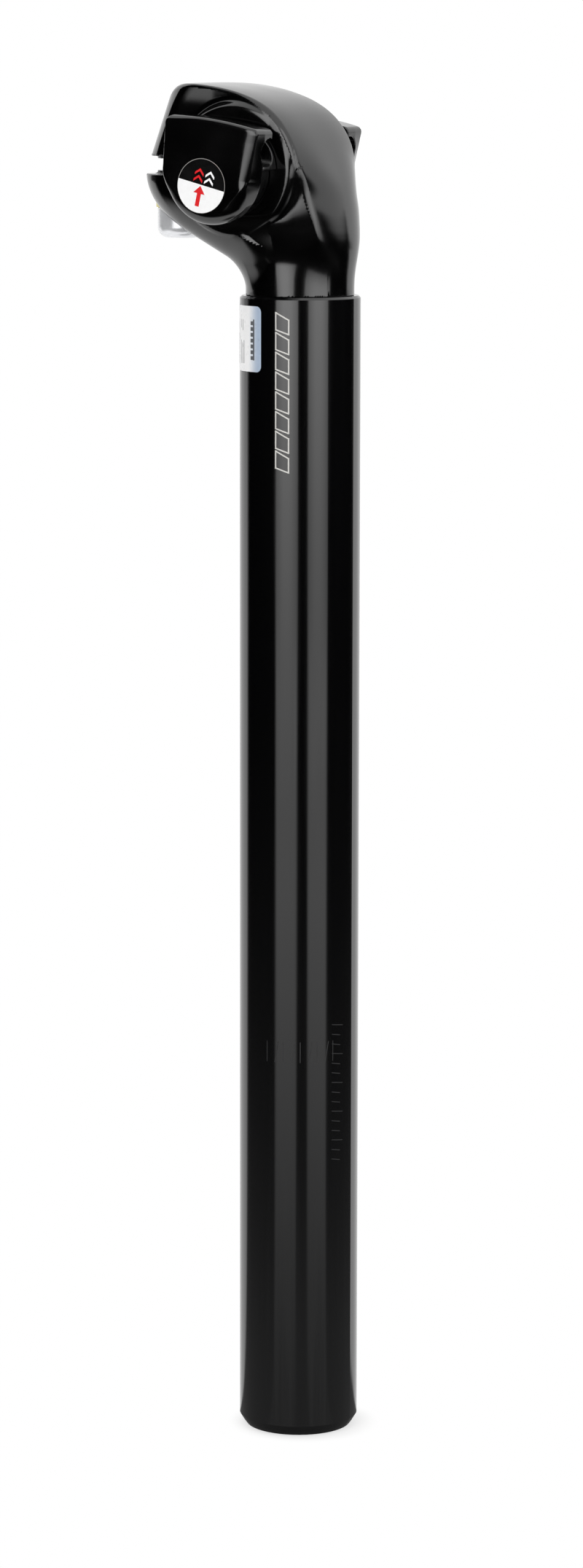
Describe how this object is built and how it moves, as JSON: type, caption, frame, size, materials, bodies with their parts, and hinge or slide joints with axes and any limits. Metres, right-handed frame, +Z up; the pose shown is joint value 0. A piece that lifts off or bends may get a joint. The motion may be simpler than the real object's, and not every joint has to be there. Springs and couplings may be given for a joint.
{
  "type": "bicycle seatpost",
  "caption": "Set-back bicycle seatpost, 31.6 mm: black tube, glossy forged head with a split bore, round-rail side clamps and one screw underneath.",
  "frame": {"origin": "centre of the tube's foot, on the tube's axis", "axes": "+Z up along the tube, +X forward on the bicycle (the head sets back towards -X), -Y the rider's right"},
  "size_m": [0.0595, 0.0586, 0.3581],
  "materials": {
    "tube_black": "black anodised",
    "head_black": "gloss black paint",
    "jaw_black": "black anodised",
    "plate_black": "gloss black",
    "polished_steel": "polished",
    "yellow_zinc": "yellow zinc plated",
    "label_foil": "printed silver foil",
    "sticker_print": "printed gloss"
  },
  "bodies": {
    "post": {"post_tube": "tube_black", "head": "head_black", "tube_label": "label_foil"},
    "clamp_core": {"inner_jaw_right": "jaw_black", "inner_jaw_left": "jaw_black"},
    "right_clamp": {"outer_clamp_right": "plate_black", "orientation_label_right": "sticker_print"},
    "left_clamp": {"outer_clamp_left": "plate_black", "orientation_label_left": "sticker_print"},
    "washer_carriage": {"bolt_washer": "yellow_zinc"},
    "bolt": {"clamp_bolt": "polished_steel"}
  },
  "joints": [
    {"name": "tilt", "type": "hinge", "parent": "post", "child": "clamp_core", "pos_m": [-0.011, 0, 0.3356], "axis": [0, 1, 0], "continuous": true},
    {"name": "right_slide", "type": "slide", "parent": "clamp_core", "child": "right_clamp", "axis": [0.1378, -0.9903, -0.0199], "range_m": [0, 0.005]},
    {"name": "left_slide", "type": "slide", "parent": "clamp_core", "child": "left_clamp", "axis": [-0.1378, 0.9903, 0.0199], "range_m": [0, 0.005]},
    {"name": "bolt_travel", "type": "slide", "parent": "post", "child": "washer_carriage", "axis": [0, 0, -1], "range_m": [0, 0.004]},
    {"name": "bolt_turn", "type": "hinge", "parent": "washer_carriage", "child": "bolt", "pos_m": [-0.0354, 0, 0.3216], "axis": [0, 0, -1], "range_deg": [0, 1152]}
  ],
  "couplings": [
    {"joint": "bolt_travel", "follows": "bolt_turn", "m_per_rad": 0.00019894}
  ]
}
